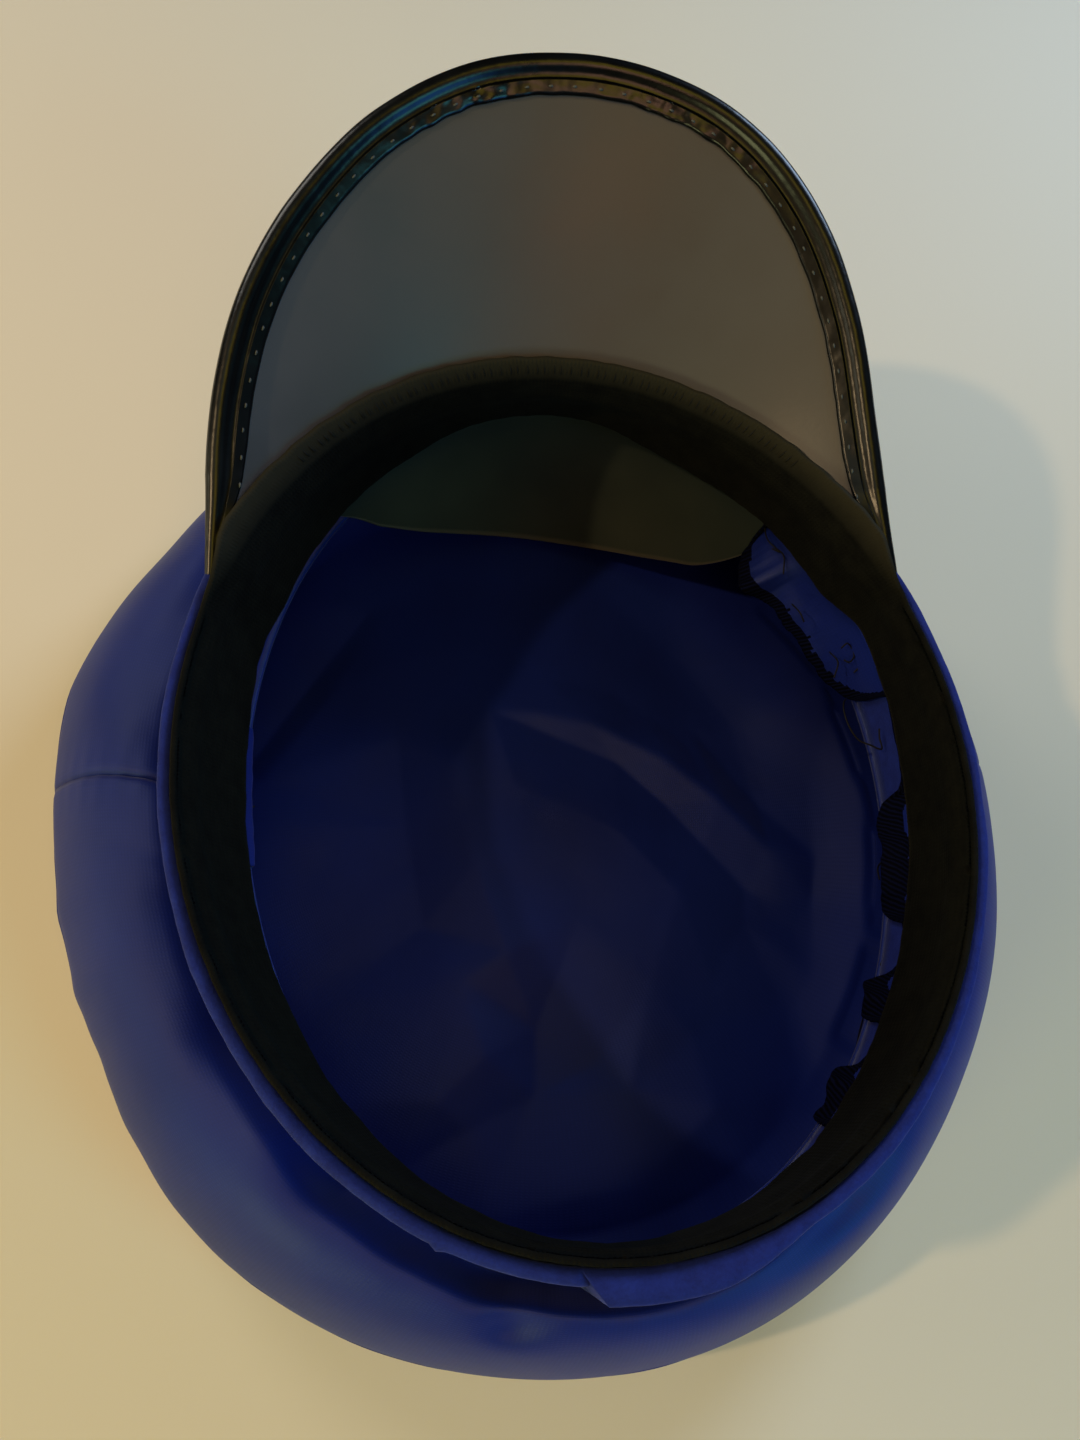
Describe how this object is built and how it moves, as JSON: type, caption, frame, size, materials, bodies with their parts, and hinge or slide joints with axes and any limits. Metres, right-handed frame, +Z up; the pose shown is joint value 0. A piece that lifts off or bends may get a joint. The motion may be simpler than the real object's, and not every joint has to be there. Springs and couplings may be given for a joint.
{
  "type": "pilot hat",
  "caption": "Blue cloth pilot hat lying upside down on its soft oval crown, with a stiff band, black inner tape and a bound black peak.",
  "frame": {"origin": "on the crown's flat top, where it lies on the floor, under the centre of the band's rim", "axes": "+Z up through the head opening, +Y towards the peak at the front, +X to the right seen from the back of the hat"},
  "size_m": [0.2495, 0.2727, 0.1373],
  "materials": {
    "blue_cloth": "smooth woven polyester with a slight sheen",
    "black_tape": "dull woven tape",
    "grey_plastic": "matte dark grey sheet",
    "black_vinyl": "glossy black vinyl",
    "dark_plastic": "satin dark plastic sheet"
  },
  "bodies": {
    "root": {"crown_top": "blue_cloth", "side_panel_front": "blue_cloth", "side_panel_back": "blue_cloth", "band": "blue_cloth", "sweatband": "black_tape", "peak": "grey_plastic", "peak_binding": "black_vinyl", "front_stay": "dark_plastic", "seam_allowance": "blue_cloth"}
  },
  "joints": []
}
